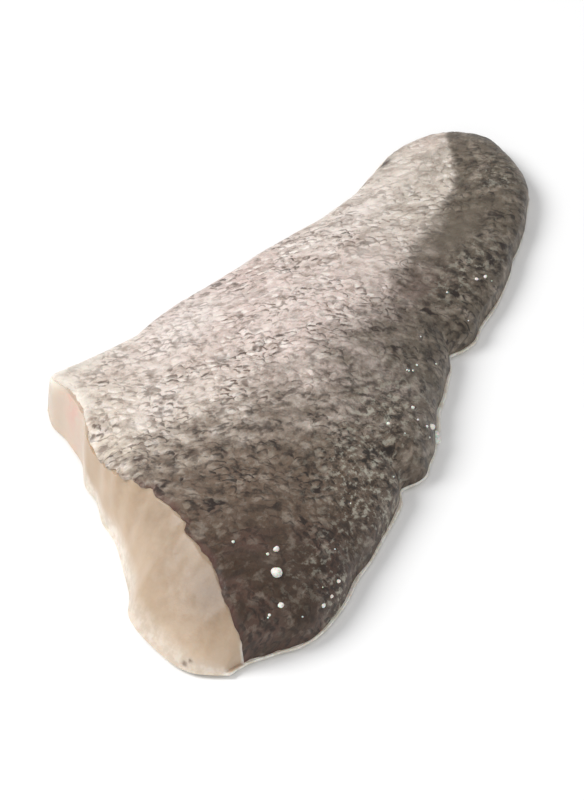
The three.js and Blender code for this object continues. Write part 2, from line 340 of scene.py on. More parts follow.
def cut_face(share, t):
    start = skin_start(t)
    top = over_rim(start, t, flesh_top(start, t))
    roll = lerp(CUT_ROUNDING, LIP_ROUNDING, step(t, *LIP_ROUNDS))
    rise = (1 - (1 - share) ** roll) ** (1 / roll)
    flakes = FLAKE_RELIEF * np.sin(FLAKE_PITCH * t + FLAKE_LEAN * share) * np.sin(math.pi * share)
    return lerp(CUT_RIM_HEIGHT, top, rise) + flakes


def from_edges(s, t):
    """Millimetres to the nearest edge of the plan."""
    return np.minimum(np.minimum(t, 1 - t) * width_at(s), np.minimum(s, 1 - s) * length_at(t))


def underside(s, t):
    inwards = np.clip(from_edges(s, t) / UNDERCUT_REACH, 0, 1)
    eased = EDGE_UNDERCUT * (1 - inwards) ** 2
    off = (t - SEAM_AT) * width_at(s) / GROOVE_HALF_WIDTH
    along = step(s, *SEAM_STARTS) * (1 - step(s, *SEAM_ENDS))
    seam = np.where(np.abs(off) < 1, GROOVE_DEPTH * along * np.cos(off * math.pi / 2) ** 2, 0)
    return eased + seam


# ---- making meshes ----
def deselect_all():
    bpy.ops.object.select_all(action="DESELECT")


def pick(piece):
    deselect_all()
    bpy.context.view_layer.objects.active = piece
    piece.select_set(True)


def add_sheet(name, rows, columns):
    """A flat sheet of rows by columns faces, from 0 to 1 both ways."""
    deselect_all()
    bpy.ops.mesh.primitive_grid_add(x_subdivisions=rows, y_subdivisions=columns, size=1,
                                    location=(0.5, 0.5, 0))
    sheet = bpy.context.active_object
    sheet.name = sheet.data.name = name
    bpy.ops.object.transform_apply(location=True, rotation=True, scale=True)
    return sheet


def vertices_of(piece):
    co = np.empty(len(piece.data.vertices) * 3)
    piece.data.vertices.foreach_get("co", co)
    return co.reshape(-1, 3)


def place_vertices(piece, millimetres):
    flat = np.array(millimetres, dtype=float)
    flat[:, :2] -= MIDDLE
    piece.data.vertices.foreach_set("co", (flat * MM).ravel())
    piece.data.update()


def set_attributes(piece, marks):
    for name, values in marks.items():
        layer = piece.data.attributes.new(name, "FLOAT", "POINT")
        layer.data.foreach_set("value", np.asarray(values, dtype=np.float32))


def edit(piece, *steps):
    pick(piece)
    bpy.ops.object.mode_set(mode="EDIT")
    bpy.ops.mesh.select_all(action="SELECT")
    for operator, settings in steps:
        operator(**settings)
    bpy.ops.object.mode_set(mode="OBJECT")


def apply_modifiers(piece):
    pick(piece)
    for modifier in list(piece.modifiers):
        bpy.ops.object.modifier_apply(modifier=modifier.name)


def shade_smooth(piece, angle):
    pick(piece)
    bpy.ops.object.shade_smooth_by_angle(angle=math.radians(angle))


# ---- colours ----
def linear(r, g, b):
    """A colour as it looks on a screen, 0 to 255, as the shader needs it."""
    def one(v):
        v = v / 255
        return v / 12.92 if v <= 0.04045 else ((v + 0.055) / 1.055) ** 2.4

    return (one(r), one(g), one(b), 1)


# the pale side of the skin, and its dark back
SILVER_HEAD, SILVER_MIDDLE, SILVER_TAIL = linear(220, 207, 190), linear(222, 205, 197), linear(206, 195, 182)
SILVER_BLUSH, PAINTED_SHEEN, BARE_SKIN = linear(204, 174, 166), linear(244, 232, 225), linear(240, 231, 219)
BACK_HEAD, BACK_TAIL, BACK_BLUSH = linear(107, 88, 72), linear(98, 88, 74), linear(100, 78, 72)
# the head's deep brown, also laid on as painted shade along the back edge
BACK_DEEP_AND_SHADE, BACK_RUSSET = linear(58, 38, 21), linear(78, 52, 42)
PATCHY_GREY = linear(124, 110, 101)
# each of these first where the skin is pale, then where it is dark
LIFTED = linear(240, 229, 221), linear(152, 139, 126)
SUNKEN = linear(156, 139, 127), linear(48, 37, 29)
BLOTS = linear(128, 110, 99), linear(44, 33, 27)
# the glints are painted, and also stand for the skin's silver flecks
GLINTS = linear(246, 238, 230), linear(156, 145, 130)
INK_FAINT, INK_STRONG, INK_ON_DARK = linear(118, 101, 90), linear(76, 63, 54), linear(36, 27, 21)
RIME, WET_SKIN = linear(184, 180, 165), linear(34, 30, 24)
TAIL_SPOT, RAW_EDGE = linear(62, 52, 45), linear(84, 50, 42)

FLESH = linear(186, 164, 141), linear(171, 148, 124)
# painted shade of the cut face
FLESH_SHADED = linear(118, 96, 74)
# inside of the lip, its rosy patch, and its roll: pale flesh with a painted highlight
LIP_INSIDE, LIP_ROSY, LIP_ROUND_AND_HIGHLIGHT = linear(191, 175, 159), linear(199, 160, 147), linear(226, 219, 208)
FLESH_BELOW = linear(196, 182, 162), linear(187, 170, 148)
MUSCLE_LINE = linear(166, 146, 124)
GLAZE = linear(212, 207, 197), linear(244, 242, 236)
DARK_SPECK, FLESH_MOTTLE = linear(74, 54, 42), linear(214, 196, 176)

ICE = linear(214, 212, 204), linear(240, 239, 233)
FLOOR_WHITE = linear(246, 246, 246), linear(249, 249, 249)


# ---- materials ----
class Finish:
    """A material put together from nodes."""

    def __init__(self, name):
        self.material = bpy.data.materials.new(name)
        self.material.use_nodes = True
        self.nodes = self.material.node_tree.nodes
        self.links = self.material.node_tree.links
        self.surface = self.nodes["Principled BSDF"]

    def put(self, socket, value):
        if isinstance(value, bpy.types.NodeSocket):
            self.links.new(value, socket)
        elif value is not None:
            socket.default_value = value

    def add(self, kind, inputs=(), **settings):
        node = self.nodes.new(kind)
        for key, value in settings.items():
            setattr(node, key, value)
        for key, value in dict(inputs).items():
            self.put(node.inputs[key], value)
        return node

    def math(self, operation, a, b=None, clamp=False):
        node = self.add("ShaderNodeMath", operation=operation, use_clamp=clamp)
        self.put(node.inputs[0], a)
        self.put(node.inputs[1], b)
        return node.outputs[0]

    def times(self, first, *others):
        for other in others:
            first = self.math("MULTIPLY", first, other)
        return first

    def plus(self, first, *others):
        for other in others:
            first = self.math("ADD", first, other)
        return first

    def minus(self, a, b):
        return self.math("SUBTRACT", a, b)

    def gap(self, a, b):
        return self.math("ABSOLUTE", self.minus(a, b))

    def rest(self, share):
        return self.minus(1.0, share)

    def larger(self, a, b):
        return self.math("MAXIMUM", a, b)

    def span(self, value, low, high, to_low=0.0, to_high=1.0, kind="SMOOTHSTEP"):
        """Goes smoothly from to_low to to_high while the value goes from low to high."""
        inputs = {"Value": value, "From Min": low, "From Max": high, "To Min": to_low, "To Max": to_high}
        return self.add("ShaderNodeMapRange", inputs, interpolation_type=kind).outputs[0]

    def ramp(self, value, low, high, to_low=0.0, to_high=1.0):
        """The same in a straight line."""
        return self.span(value, low, high, to_low, to_high, "LINEAR")

    def mix(self, factor, a, b):
        node = self.add("ShaderNodeMix", data_type="RGBA")
        self.put(node.inputs[0], factor)
        self.put(node.inputs[6], a)
        self.put(node.inputs[7], b)
        return node.outputs[2]

    def attributes(self, *names):
        return [self.add("ShaderNodeAttribute", attribute_name=name).outputs["Fac"] for name in names]

    def noise(self, vector, scale, detail=3.0, rough=0.55, output="Fac"):
        inputs = {"Vector": vector, "Scale": scale, "Detail": detail, "Roughness": rough}
        return self.add("ShaderNodeTexNoise", inputs).outputs[output]

    def swing(self, vector, scale, detail=3.0, rough=0.55):
        """Noise about zero."""
        return self.minus(self.noise(vector, scale, detail, rough), 0.5)

    def vector(self, operation, a, b):
        node = self.add("ShaderNodeVectorMath", operation=operation)
        self.put(node.inputs[0], a)
        self.put(node.inputs[1], b)
        return node.outputs[0]

    def xyz(self, x, y, z=0.0):
        return self.add("ShaderNodeCombineXYZ", {"X": x, "Y": y, "Z": z}).outputs[0]

    def split(self, vector):
        return self.add("ShaderNodeSeparateXYZ", {"Vector": vector}).outputs

    def object_place(self):
        return self.add("ShaderNodeTexCoord").outputs["Object"]

    def bump(self, height, strength, distance):
        inputs = {"Height": height, "Strength": strength, "Distance": distance}
        return self.add("ShaderNodeBump", inputs).outputs[0]

    def set(self, **sockets):
        for key, value in sockets.items():
            self.put(self.surface.inputs[key.replace("_", " ")], value)


def wiggled(f, place, coarse, fine):
    """The place, pushed about by two sizes of noise."""
    for scale, amount in ((0.55, coarse), (2.6, fine)):
        push = f.vector("SUBTRACT", f.noise(place, scale, 2.0, output="Color"), (0.5, 0.5, 0.5))
        place = f.vector("ADD", place, f.vector("MULTIPLY", push, (amount, amount, 0)))
    return place


def pocket_cells(f, place):
    """Splits the skin into leaning diamonds, one for each scale: its place in the cell and its own draws."""
    p, q, _ = f.split(place)
    a, b = f.plus(p, q), f.minus(p, q)
    ia, ib = f.math("FLOOR", a), f.math("FLOOR", b)
    fa, fb = f.minus(a, ia), f.minus(b, ib)
    along = f.times(f.plus(fa, fb), 0.5)
    across = f.times(f.minus(fa, fb), 0.5)
    own = f.add("ShaderNodeTexWhiteNoise", {"Vector": f.xyz(ia, ib)}, noise_dimensions="2D")
    return along, across, own.outputs["Value"], own.outputs["Color"]


def scale_marks(f, here, place, quiet, depth):
    """Dark strokes and painted silver glints, and the height and the dark arcs of the pockets."""
    along, across, own, draws = pocket_cells(f, place)
    own_a, own_b, own_c = f.split(draws)
    reach = f.plus(along, f.times(across, across, f.ramp(own_c, 0, 1, 0.3, 1.8)))

    # dark arcs at the tail side of the pockets, each cut off at its own ends
    off_arc = f.gap(reach, f.ramp(own_a, 0, 1, 0.5, 0.85))
    arc = f.rest(f.span(f.math("DIVIDE", off_arc, f.ramp(own_b, 0, 1, 0.1, 0.25)), 0.2, 1.0))
    aside = f.gap(across, f.ramp(own_c, 0, 1, -0.15, 0.15))
    arc = f.times(arc, f.rest(f.span(aside, 0.28, 0.5)))
    arc = f.times(arc, f.span(f.noise(here, 1.5, 2.0), 0.34, 0.5), f.span(own, 0.05, 0.35))
    # worm-like strokes between the arcs, and freckles
    worm = f.rest(f.span(f.gap(f.noise(place, 0.62, 1.5), 0.5), 0.01, 0.06))
    worm = f.times(worm, f.span(f.noise(here, 0.9, 2.0), 0.45, 0.56))
    freckle = f.span(f.noise(here, 1.9, 2.0), 0.56, 0.68)
    stroke = f.larger(f.larger(arc, f.times(worm, 0.9)), f.times(freckle, 0.55))
    clumps = f.span(f.noise(here, 0.3, 3.0, 0.6), 0.36, 0.62, 0.3, 1.0)
    stroke = f.times(stroke, clumps, f.ramp(quiet, 0, 1, 0.1, 1.0))

    # painted glints in the pockets, which also stand for the skin's silver flecks, and salt-like grains
    glint = f.rest(f.span(f.gap(reach, 0.3), 0.06, 0.26))
    glint = f.times(glint, f.span(f.noise(here, 1.1, 3.0), 0.45, 0.58), f.span(own_a, 0.25, 0.6))
    salt = f.span(f.noise(here, 2.5, 2.0), 0.57, 0.7)
    glint = f.larger(glint, f.times(salt, 0.45))
    glint = f.times(glint, f.span(f.noise(here, 0.24, 2.0), 0.38, 0.6, 0.35, 1.0))
    glint = f.times(glint, f.ramp(quiet, 0, 1, 0.15, 1.0), f.ramp(depth, 0, 1, 1.0, 0.3))
    return stroke, glint, along, arc, own_b


def skin_ground(f, dark, patchy, here, along_body, blush, depth, bare, painted_sheen):
    """The skin's colour under its marks, from the silver belly side to the brown-black back, with a painted
    sheen on the silver side and painted shade along the back edge.
    """
    pale = f.mix(f.span(along_body, 0.15, 0.5), SILVER_HEAD, SILVER_MIDDLE)
    pale = f.mix(f.span(along_body, 0.55, 0.85), pale, SILVER_TAIL)
    pale = f.mix(f.times(blush, 0.6), pale, SILVER_BLUSH)
    # painted sheen: the silver side lightened where glossy highlights lie
    pale = f.mix(f.times(painted_sheen, 0.75), pale, PAINTED_SHEEN)
    pale = f.mix(bare, pale, BARE_SKIN)
    deep = f.mix(f.span(along_body, 0.15, 0.55), BACK_HEAD, BACK_TAIL)
    deep = f.mix(f.times(blush, 0.6), deep, BACK_BLUSH)
    # the head's deep brown, and painted shade along the back edge
    deep = f.mix(depth, deep, BACK_DEEP_AND_SHADE)
    russet = f.times(f.span(f.noise(here, 0.3, 2.0), 0.46, 0.6), depth)
    deep = f.mix(f.times(russet, 0.7), deep, BACK_RUSSET)
    ground = f.mix(dark, pale, deep)
    return f.mix(f.ramp(patchy, -0.2, 0.2, 0.0, 0.26), ground, PATCHY_GREY)


def mottled(f, ground, dark, here, place, quiet, depth):
    """Soft mottling between the strokes, and dark spots that are thickest towards the back."""
    soft = f.swing(here, 0.95, 4.0, 0.6)
    busy = f.times(f.ramp(quiet, 0, 1, 0.25, 1.0), f.ramp(depth, 0, 1, 1.0, 0.6))
    lift = f.times(f.span(soft, 0.01, 0.16), busy, 0.8)
    ground = f.mix(lift, ground, f.mix(dark, *LIFTED))
    sink = f.times(f.span(soft, -0.01, -0.16), busy, 0.85)
    ground = f.mix(sink, ground, f.mix(dark, *SUNKEN))
    blot = f.times(f.span(f.noise(place, 0.62, 2.5, 0.6), 0.6, 0.69), f.span(quiet, 0, 1, 0.2, 1.0))
    blot = f.times(blot, f.span(dark, 0.1, 0.8, 0.35, 1.0))
    return f.mix(blot, ground, f.mix(dark, *BLOTS))


def rimed(f, colour, rime, here):
    """Thin rime along the back: pale flecks with darker wet skin between them."""
    fleck = f.noise(here, 1.7, 3.0, 0.65)
    colour = f.mix(f.times(rime, f.span(fleck, 0.51, 0.64), 0.7), colour, RIME)
    return f.mix(f.times(rime, f.span(fleck, 0.47, 0.37), 0.85), colour, WET_SKIN)


def skin_finish():
    """Scaled skin: pale silver towards the belly, dark along the back, each pocket drawn by its own arc."""
    f = Finish("hake_skin")
    here = f.add("ShaderNodeUVMap", uv_map="scales").outputs[0]
    place = wiggled(f, here, 1.2, 0.3)
    tone, along_body, calm, blush, depth = f.attributes("tone", "along", "calm", "blush", "depth")
    rime, bare, painted_sheen, spot, raw = f.attributes("rime", "bare", "painted_sheen", "spot", "raw")
    quiet = f.times(f.rest(calm), f.rest(bare))
    stroke, glint, along, arc, own = scale_marks(f, here, place, quiet, depth)

    # how dark the skin is, with the line between pale and dark broken up
    patchy = f.swing(here, 0.5, 3.0, 0.6)
    grain = f.swing(here, 1.3, 4.0, 0.65)
    sway = f.plus(f.times(patchy, 1.3), f.times(grain, 0.7), f.times(f.swing(here, 0.16), 0.9))
    at_line = f.times(tone, f.rest(tone), 4.0)
    dark = f.math("ADD", tone, f.times(sway, f.plus(at_line, 0.3)), clamp=True)
    dark = f.rest(f.math("POWER", f.rest(dark), 1.5))

    ground = skin_ground(f, dark, patchy, here, along_body, blush, depth, bare, painted_sheen)
    ground = mottled(f, ground, dark, here, place, quiet, depth)
    ink = f.mix(dark, f.mix(own, INK_FAINT, INK_STRONG), INK_ON_DARK)
    colour = f.mix(f.times(stroke, f.ramp(dark, 0, 1, 1.0, 0.9)), ground, ink)
    # painted glints, also the skin's silver flecks
    colour = f.mix(f.times(glint, f.ramp(dark, 0, 1, 0.85, 0.46)), colour, f.mix(dark, *GLINTS))
    colour = rimed(f, colour, rime, here)
    colour = f.mix(spot, colour, TAIL_SPOT)
    raw = f.times(raw, f.span(f.noise(here, 0.7, 2.0), 0.35, 0.6), 0.6)
    colour = f.mix(raw, colour, RAW_EDGE)

    height = f.minus(f.times(along, 0.4), f.times(arc, 0.5))
    height = f.plus(height, f.times(grain, 0.9), f.times(f.noise(here, 9.0, 2.0), 0.25))
    f.set(Base_Color=colour, Roughness=f.ramp(grain, -0.3, 0.3, 0.36, 0.56), Specular_IOR_Level=0.35,
          Normal=f.bump(height, 0.45, 0.0003), Coat_Weight=0.05, Coat_Roughness=0.25,
          Subsurface_Weight=0.06, Subsurface_Scale=0.0015)
    return f.material


def flesh_finish():
    """Cream flesh: smooth and a little translucent, rosier at the lip, glazed along the thin rims, with
    painted shade on the cut face and a painted highlight on the lip's roll.
    """
    f = Finish("hake_flesh")
    here = f.object_place()
    lip, rim, under, shade, rosy = f.attributes("lip", "rim", "under", "shade", "rosy")
    roll, lines, speck = f.attributes("roll", "lines", "speck")
    broad = f.span(f.noise(here, 55, 3.0), 0.35, 0.65)
    fine = f.noise(here, 420, 4.0, 0.6)
    base = f.mix(broad, *FLESH)
    # painted shade on the cut face, partly also the flesh's darker layer by the skin
    base = f.mix(shade, base, FLESH_SHADED)
    rosy = f.times(rosy, f.span(f.noise(here, 300, 3.0), 0.38, 0.6, 0.25, 1.0))
    # the lip's roll carries a painted highlight
    lip_colour = f.mix(roll, f.mix(rosy, LIP_INSIDE, LIP_ROSY), LIP_ROUND_AND_HIGHLIGHT)
    base = f.mix(lip, base, lip_colour)
    below = f.mix(f.times(lines, 0.5), f.mix(broad, *FLESH_BELOW), MUSCLE_LINE)
    base = f.mix(under, base, below)
    base = f.mix(f.times(rim, 0.85), base, f.mix(f.span(fine, 0.4, 0.62), *GLAZE))
    base = f.mix(f.times(speck, 0.8), base, DARK_SPECK)
    base = f.mix(f.ramp(fine, 0.3, 0.7, 0.0, 0.16), base, FLESH_MOTTLE)
    height = f.plus(f.times(fine, 0.5), f.times(f.noise(here, 1400, 2.0), 0.2))
    f.set(Base_Color=base, Roughness=f.ramp(fine, 0.3, 0.7, 0.36, 0.5), Specular_IOR_Level=0.38,
          Normal=f.bump(height, 0.35, 0.0004), Coat_Weight=0.07, Coat_Roughness=0.2,
          Subsurface_Weight=0.3, Subsurface_Scale=0.003, Subsurface_Radius=(1.0, 0.5, 0.28))
    return f.material


def frost_finish():
    """Beads of ice: white, slightly see-into, with a wet glint."""
    f = Finish("frost")
    cloud = f.noise(f.object_place(), 1600, 3.0)
    f.set(Base_Color=f.mix(f.span(cloud, 0.35, 0.65), *ICE), Roughness=f.ramp(cloud, 0.3, 0.7, 0.35, 0.6),
          Normal=f.bump(cloud, 0.3, 0.0002), Subsurface_Weight=0.5, Subsurface_Scale=0.001,
          Coat_Weight=0.12, Coat_Roughness=0.25)
    return f.material


def floor_finish():
    f = Finish("studio_floor")
    colour = f.mix(f.noise(f.object_place(), 3, 2.0), *FLOOR_WHITE)
    f.set(Base_Color=colour, Roughness=0.85, Specular_IOR_Level=0.1)
    return f.material


# ---- the flesh ----
FLESH_GRID = ((250, 170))
CUT_SHARE = 0.2  # how many of the rows lie on the cut face
WALL_RINGS = 4
EDGE_BUNCHING = 0.6
INWARD_STEP = 0.004  # share of the way to the sheet's middle
# Two dark specks at the foot of the cut: X and Y in the drawing, height and size.
CUT_SPECKS = [(-100.5, -26.1, 2.2, 0.55), (-99.9, -27.2, 3.0, 0.4)]
SPECK_DARKNESS, SPECK_FLATNESS = 1.3, 0.8
CUT_ROW_POWER, TOP_ROW_POWER = 0.9, 1.25  # draw the rows together towards the skin and the tail
# Parts of the cut face. Their spans are in t, but for what rises, which is a share of the way up.
LIP_SETS_IN = (LIP_FROM - 0.01, LIP_FROM + 0.06)
LIP_FADE_ROWS = 0.02
# the lip's roll: pale flesh with a painted highlight where a rounded roll would catch the light
LIP_ROUND_STARTS, LIP_ROUND_RISES = (0.9, 0.97), (0.2, 0.9)
FOOT_GLAZE, FOOT_FAINT = 0.7, 0.7
FOOT_ROWS = 0.045
FOOT_WHITENS, FOOT_ENDS = (0.3, 0.5), (0.7, 0.8)
# Painted shade on the cut face: darker towards the skin where the key lamp lights the face most, partly also
# the flesh's darker layer there.
PAINTED_SHADE_STRENGTH = 0.53
PAINTED_SHADE_STARTS, PAINTED_SHADE_ENDS, PAINTED_SHADE_RISES = (0.02, 0.13), (0.4, 0.52), (0.1, 0.9)
# Patches by their middle and reach, each in t and up the face.
# the first patch is painted shade near the back corner of the cut, partly also browner flesh by the skin
SHADE_AND_BROWN_PATCH = (0.15, 0.9), (0.06, 0.35)
SHADE_AND_BROWN_STRENGTH = 0.5
ROSY_PATCH = (0.865, 0.5), (0.05, 0.45)
# The glazed rim along the edges.
RIM_FADES = (0.8, 2.6)  # millimetres from the edge
RIM_STARTS = (0.8 * CUT_SHARE, CUT_SHARE)
RIM_DULLS = (0.6, 0.9)
RIM_DULLED_BY = 0.55


def bunched(share, pull):
    """Even steps drawn together towards both ends."""
    return lerp(share, 0.5 - 0.5 * np.cos(math.pi * share), pull)


def flesh_place(row, column):
    """Where a point of the flesh sheet lies: s, t, and its share up the cut face."""
    t = bunched(column, EDGE_BUNCHING)
    start = skin_start(t)
    share = np.clip(row / CUT_SHARE, 0, 1) ** CUT_ROW_POWER
    beyond = np.clip((row - CUT_SHARE) / (1 - CUT_SHARE), 0, 1)
    eased = 1 - (1 - beyond) ** TOP_ROW_POWER
    s = np.where(row < CUT_SHARE, start * share, lerp(start, 1, eased))
    return s, t, share


def outwards(row, column, p):
    """The way out of the fillet in plan, at its edge."""
    inner = plan(*flesh_place(lerp(row, 0.5, INWARD_STEP), lerp(column, 0.5, INWARD_STEP))[:2])
    return (p - inner) / np.maximum(1e-6, np.linalg.norm(p - inner, axis=1))[:, None]


def muscle_lines(s, t, x, y):
    """Faint chevrons that point along the seam of the flesh side."""
    off_seam = np.abs((t - SEAM_AT) * width_at(s))
    slanted = x + CHEVRON_SLANT * off_seam + rough(x, y, CHEVRON_WANDER)
    chevron = np.abs(np.sin(math.pi * slanted / CHEVRON_PITCH))
    return (1 - step(chevron, 0.0, CHEVRON_WIDTH)) * step(from_edges(s, t), *LINES_START)


def flesh_marks(row, s, t, share, layer):
    """The attributes that the flesh's colour reads, but for those that its form gives."""
    from_side = np.minimum(np.minimum(t, 1 - t) * width_at(s), (1 - s) * length_at(t))
    foot = (1 - step(row, 0.0, FOOT_ROWS)) * (1 - step(t, *FOOT_ENDS))
    foot = foot * lerp(FOOT_FAINT, 1, step(t, *FOOT_WHITENS))
    # on top the rim starts beyond the cut, and down the wall at the back it runs on to the corner
    begins = np.where((layer > 0) & (t < 0.5), 1, step(row, *RIM_STARTS))
    rim = (1 - step(from_side, *RIM_FADES)) * begins * (1 - RIM_DULLED_BY * step(t, *RIM_DULLS))
    # painted shade: a band of the cut face towards the skin, and a patch near its back corner
    painted_shade_band = step(t, *PAINTED_SHADE_STARTS) * (1 - step(t, *PAINTED_SHADE_ENDS)) * step(share, *PAINTED_SHADE_RISES)
    shaded = PAINTED_SHADE_STRENGTH * painted_shade_band + SHADE_AND_BROWN_STRENGTH * around(t, share, *SHADE_AND_BROWN_PATCH)
    return {
        "rim": np.maximum(rim, FOOT_GLAZE * foot),
        "rosy": around(t, share, *ROSY_PATCH),
        # painted highlight of the lip's roll
        "roll": step(t, *LIP_ROUND_STARTS) * step(share, *LIP_ROUND_RISES),
        "under": (layer >= WALL_RINGS - 1).astype(float),
        "shade": np.where(row < CUT_SHARE, shaded, 0),
    }


def make_flesh():
    flesh = add_sheet("flesh", *FLESH_GRID)
    down = {"TRANSFORM_OT_translate": {"value": (0, 0, -1)}}
    edit(flesh, *[(bpy.ops.mesh.extrude_region_move, down)] * WALL_RINGS,
         (bpy.ops.mesh.select_all, {"action": "SELECT"}),
         (bpy.ops.mesh.normals_make_consistent, {"inside": False}))
    at = vertices_of(flesh)
    row, column, layer = np.clip(at[:, 0], 0, 1), np.clip(at[:, 1], 0, 1), np.round(-at[:, 2])
    s, t, share = flesh_place(row, column)
    p = plan(s, t)
    x, y = p[:, 0], p[:, 1]

    # the top, with fine grain on the cut face and small folds in the lip
    on_cut = row < CUT_SHARE
    arch = np.sin(math.pi * np.clip(share, 0, 1))
    lip = step(t, *LIP_SETS_IN) * (1 - step(row, CUT_SHARE, CUT_SHARE + LIP_FADE_ROWS))
    grain = rough(x, y, CUT_GRAIN) * arch**0.5
    folds = LIP_FOLDS * np.sin(FOLD_PITCH * t + FOLD_LEAN * share) * np.sin(math.pi * share) * lip
    top = np.where(on_cut, cut_face(share, t) + grain, over_rim(s, t, flesh_top(s, t))) + folds

    # the underside, and the narrow wall that bulges between the two
    line = muscle_lines(s, t, x, y)
    low = underside(s, t) + CHEVRON_DEPTH * line
    level = layer / WALL_RINGS
    z = np.where(layer == 0, top, np.where(layer == WALL_RINGS, low, lerp(top, low, level)))
    bulge = WALL_BULGE * np.sin(math.pi * level)
    place_vertices(flesh, np.column_stack([p + outwards(row, column, p) * bulge[:, None], z]))

    specks = sum(around(np.hypot(x - speck_x, y - speck_y), z, (0, speck_z), (size, SPECK_FLATNESS * size))
                 for speck_x, speck_y, speck_z, size in CUT_SPECKS)
    set_attributes(flesh, flesh_marks(row, s, t, share, layer))
    set_attributes(flesh, {"lip": lip, "lines": np.where(layer == WALL_RINGS, line, 0),
                           "speck": np.clip(SPECK_DARKNESS * specks, 0, 1)})
    shade_smooth(flesh, 60)
    flesh.data.materials.append(flesh_finish())
    return flesh


# ---- the skin ----
SKIN_GRID = ((312, 148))
# How the pale belly side goes over into the dark back: along X, at these Y the pale ends, the tone
# is halfway, and the dark begins.
TONE_LINES = np.array([(-95, 26, 5, -5), (-78, 26, 5, -7), (-66, 26, 3.5, -10), (-54, 19, -0.5, -15),
                       (-42, 8, 0.5, -27), (-30, 7, -7.5, -44), (-18, 8, -16, -42), (-6, 1, -14, -40),
                       (6, -2, -12.5, -28), (18, -3, -11.5, -21), (30, -2.5, -9.5, -17),
                       (42, -2, -6, -13), (54, 0.5, -2.5, -8), (66, 0.5, -1, -3.5), (78, 4, 3, 1.2),
                       (90, 12.7, 11.7, 10.5), (100, 19, 18, 17)], dtype=float)
HALF_TONE = 0.58
TONE_EASING = 0.25
# The line wanders fully where pale goes over into dark within this width, and less where at once.
WANDER_WIDTH, WANDER_LEAST = 14, 0.2
# Darker and paler clouds over that: X, Y, reach along X and Y, and how much darker.
CLOUDS = [(-18, -15, 7, 6, -0.2), (-30, -10.5, 5, 6, 0.16), (-42, 3, 5, 4, 0.1), (-66, 17, 7, 5, 0.14),
          (-53, 5, 7, 5, -0.12), (-6, 3, 9, 5, -0.12), (30, -2, 12, 4, -0.1), (-30, 8, 6, 5, -0.1),
          (54, -8, 7, 4, 0.12), (30, -24, 7, 6, 0.1), (-40, 12, 6, 5, -0.1), (24, -9, 9, 5, -0.14),
          (-42, 4, 5, 4, 0.12), (-18, -5, 5, 4, 0.14), (54, 1, 5, 3, 0.12), (-42, -12, 6, 4, -0.12),
          (-66, 6, 6, 4, -0.08), (18, -12, 8, 5, -0.1), (-55, 18, 6, 4, 0.14), (-66, 14, 5, 5, 0.08),
          (84, 13, 5, 4, 0.2), (-29, -20, 6, 5, -0.05), (78, 22, 7, 3, 0.08)]
# Where the skin is plainer, rosier, deeper brown with painted shade along the back edge, lighter with a
# painted sheen, rimed or spotted: X, Y, reach along X and Y, and how strongly.
SKIN_PLACES = {
    "calm": [(58, -9, 17, 4.5, 1), (-77, -28, 13, 9, 0.6), (34, 0, 18, 6, 0.55), (30, -14, 10, 4, 0.5),
             (72, 13, 24, 9, 0.6), (-10, 27, 18, 8, 0.4), (-38, 22, 16, 12, 0.25)],
    "blush": [(17, 28, 13, 6, 1), (5, 12, 22, 12, 0.55), (30, -13, 13, 5, 0.8), (90, 17, 7, 5, 0.6)],
    # depth: the head's deep brown, and in its second row painted shade along the back edge
    "depth": [(-82, -30, 22, 14, 1.2), (-64, -43, 34, 8, 0.8)],
    # painted sheen: lighter patches that stand for glossy highlights on the silver side
    "painted_sheen": [(-9, 28, 18, 6, 1.3), (-42, 15, 10, 6, 0.9), (4, 9, 20, 6, 0.7), (54, 17, 22, 6, 0.8)],
    "rime": [(-62, -40, 16, 4, 0.6), (-65, -46.5, 6, 2.5, 1.3), (-38, -37, 11, 8, 1.2),
             (-16, -29, 20, 9, 0.9), (46, -18, 18, 5, 0.7), (84, -6, 9, 7, 0.7)],
    "spot": [(77, 22.2, 2.0, 1.1, 1)],
}
# Where scales are worn off: millimetres from the belly edge and from the lip's cut, and up to where.
WORN_BELLY, WORN_BELLY_ENDS_X = (2.0, 8.0), (-32, -4)
WORN_LIP, WORN_LIP_FROM_Y = (1.0, 5.0), (24, 33)
# The raw red-brown edge of the skin at the cut.
RAW_WIDTH, RAW_ENDS_Y = (0.2, 1.7), (0, 16)
# How high above the table the skin's lower edge hangs along the back: along X, at this height.
HANG_LINE = np.array([(-97, 1.7), (-88, 1.5), (-62, 1.5), (-50, 1.2), (-30, 1.4), (-24, 0.8), (-8, 0.7),
                      (-2, 1.3), (18, 1.6), (24, 1.2), (45, 1.3), (62, 0.8), (86, 0.7)])
TAIL_HANG = 0.7
BACK_OVERHANG = 0.75  # how far a low-hanging edge stands out over the rim
TAIL_OVERHANG = 0.7
OVERHANG_FADES = (0.7, BARE_RIM_HEIGHT)  # by how high the edge hangs
BACK_OVERHANG_ENDS = (0.93, 0.985)
TAIL_OVERHANG_STARTS, TAIL_OVERHANG_ENDS = (0.02, 0.15), (0.85, 0.98)
SKIN_BUNCHING = 0.35
WALL_COLUMNS = 0.06  # share of the columns that hang down at the back
WALL_ROWS = 0.03  # and of the rows, at the tail
WALL_RUN_POWER, WALL_RISE_POWER = 1.6, 0.9


def patches(x, y, rows):
    return sum(amount * around(x, y, (px, py), (rx, ry)) for px, py, rx, ry, amount in rows)


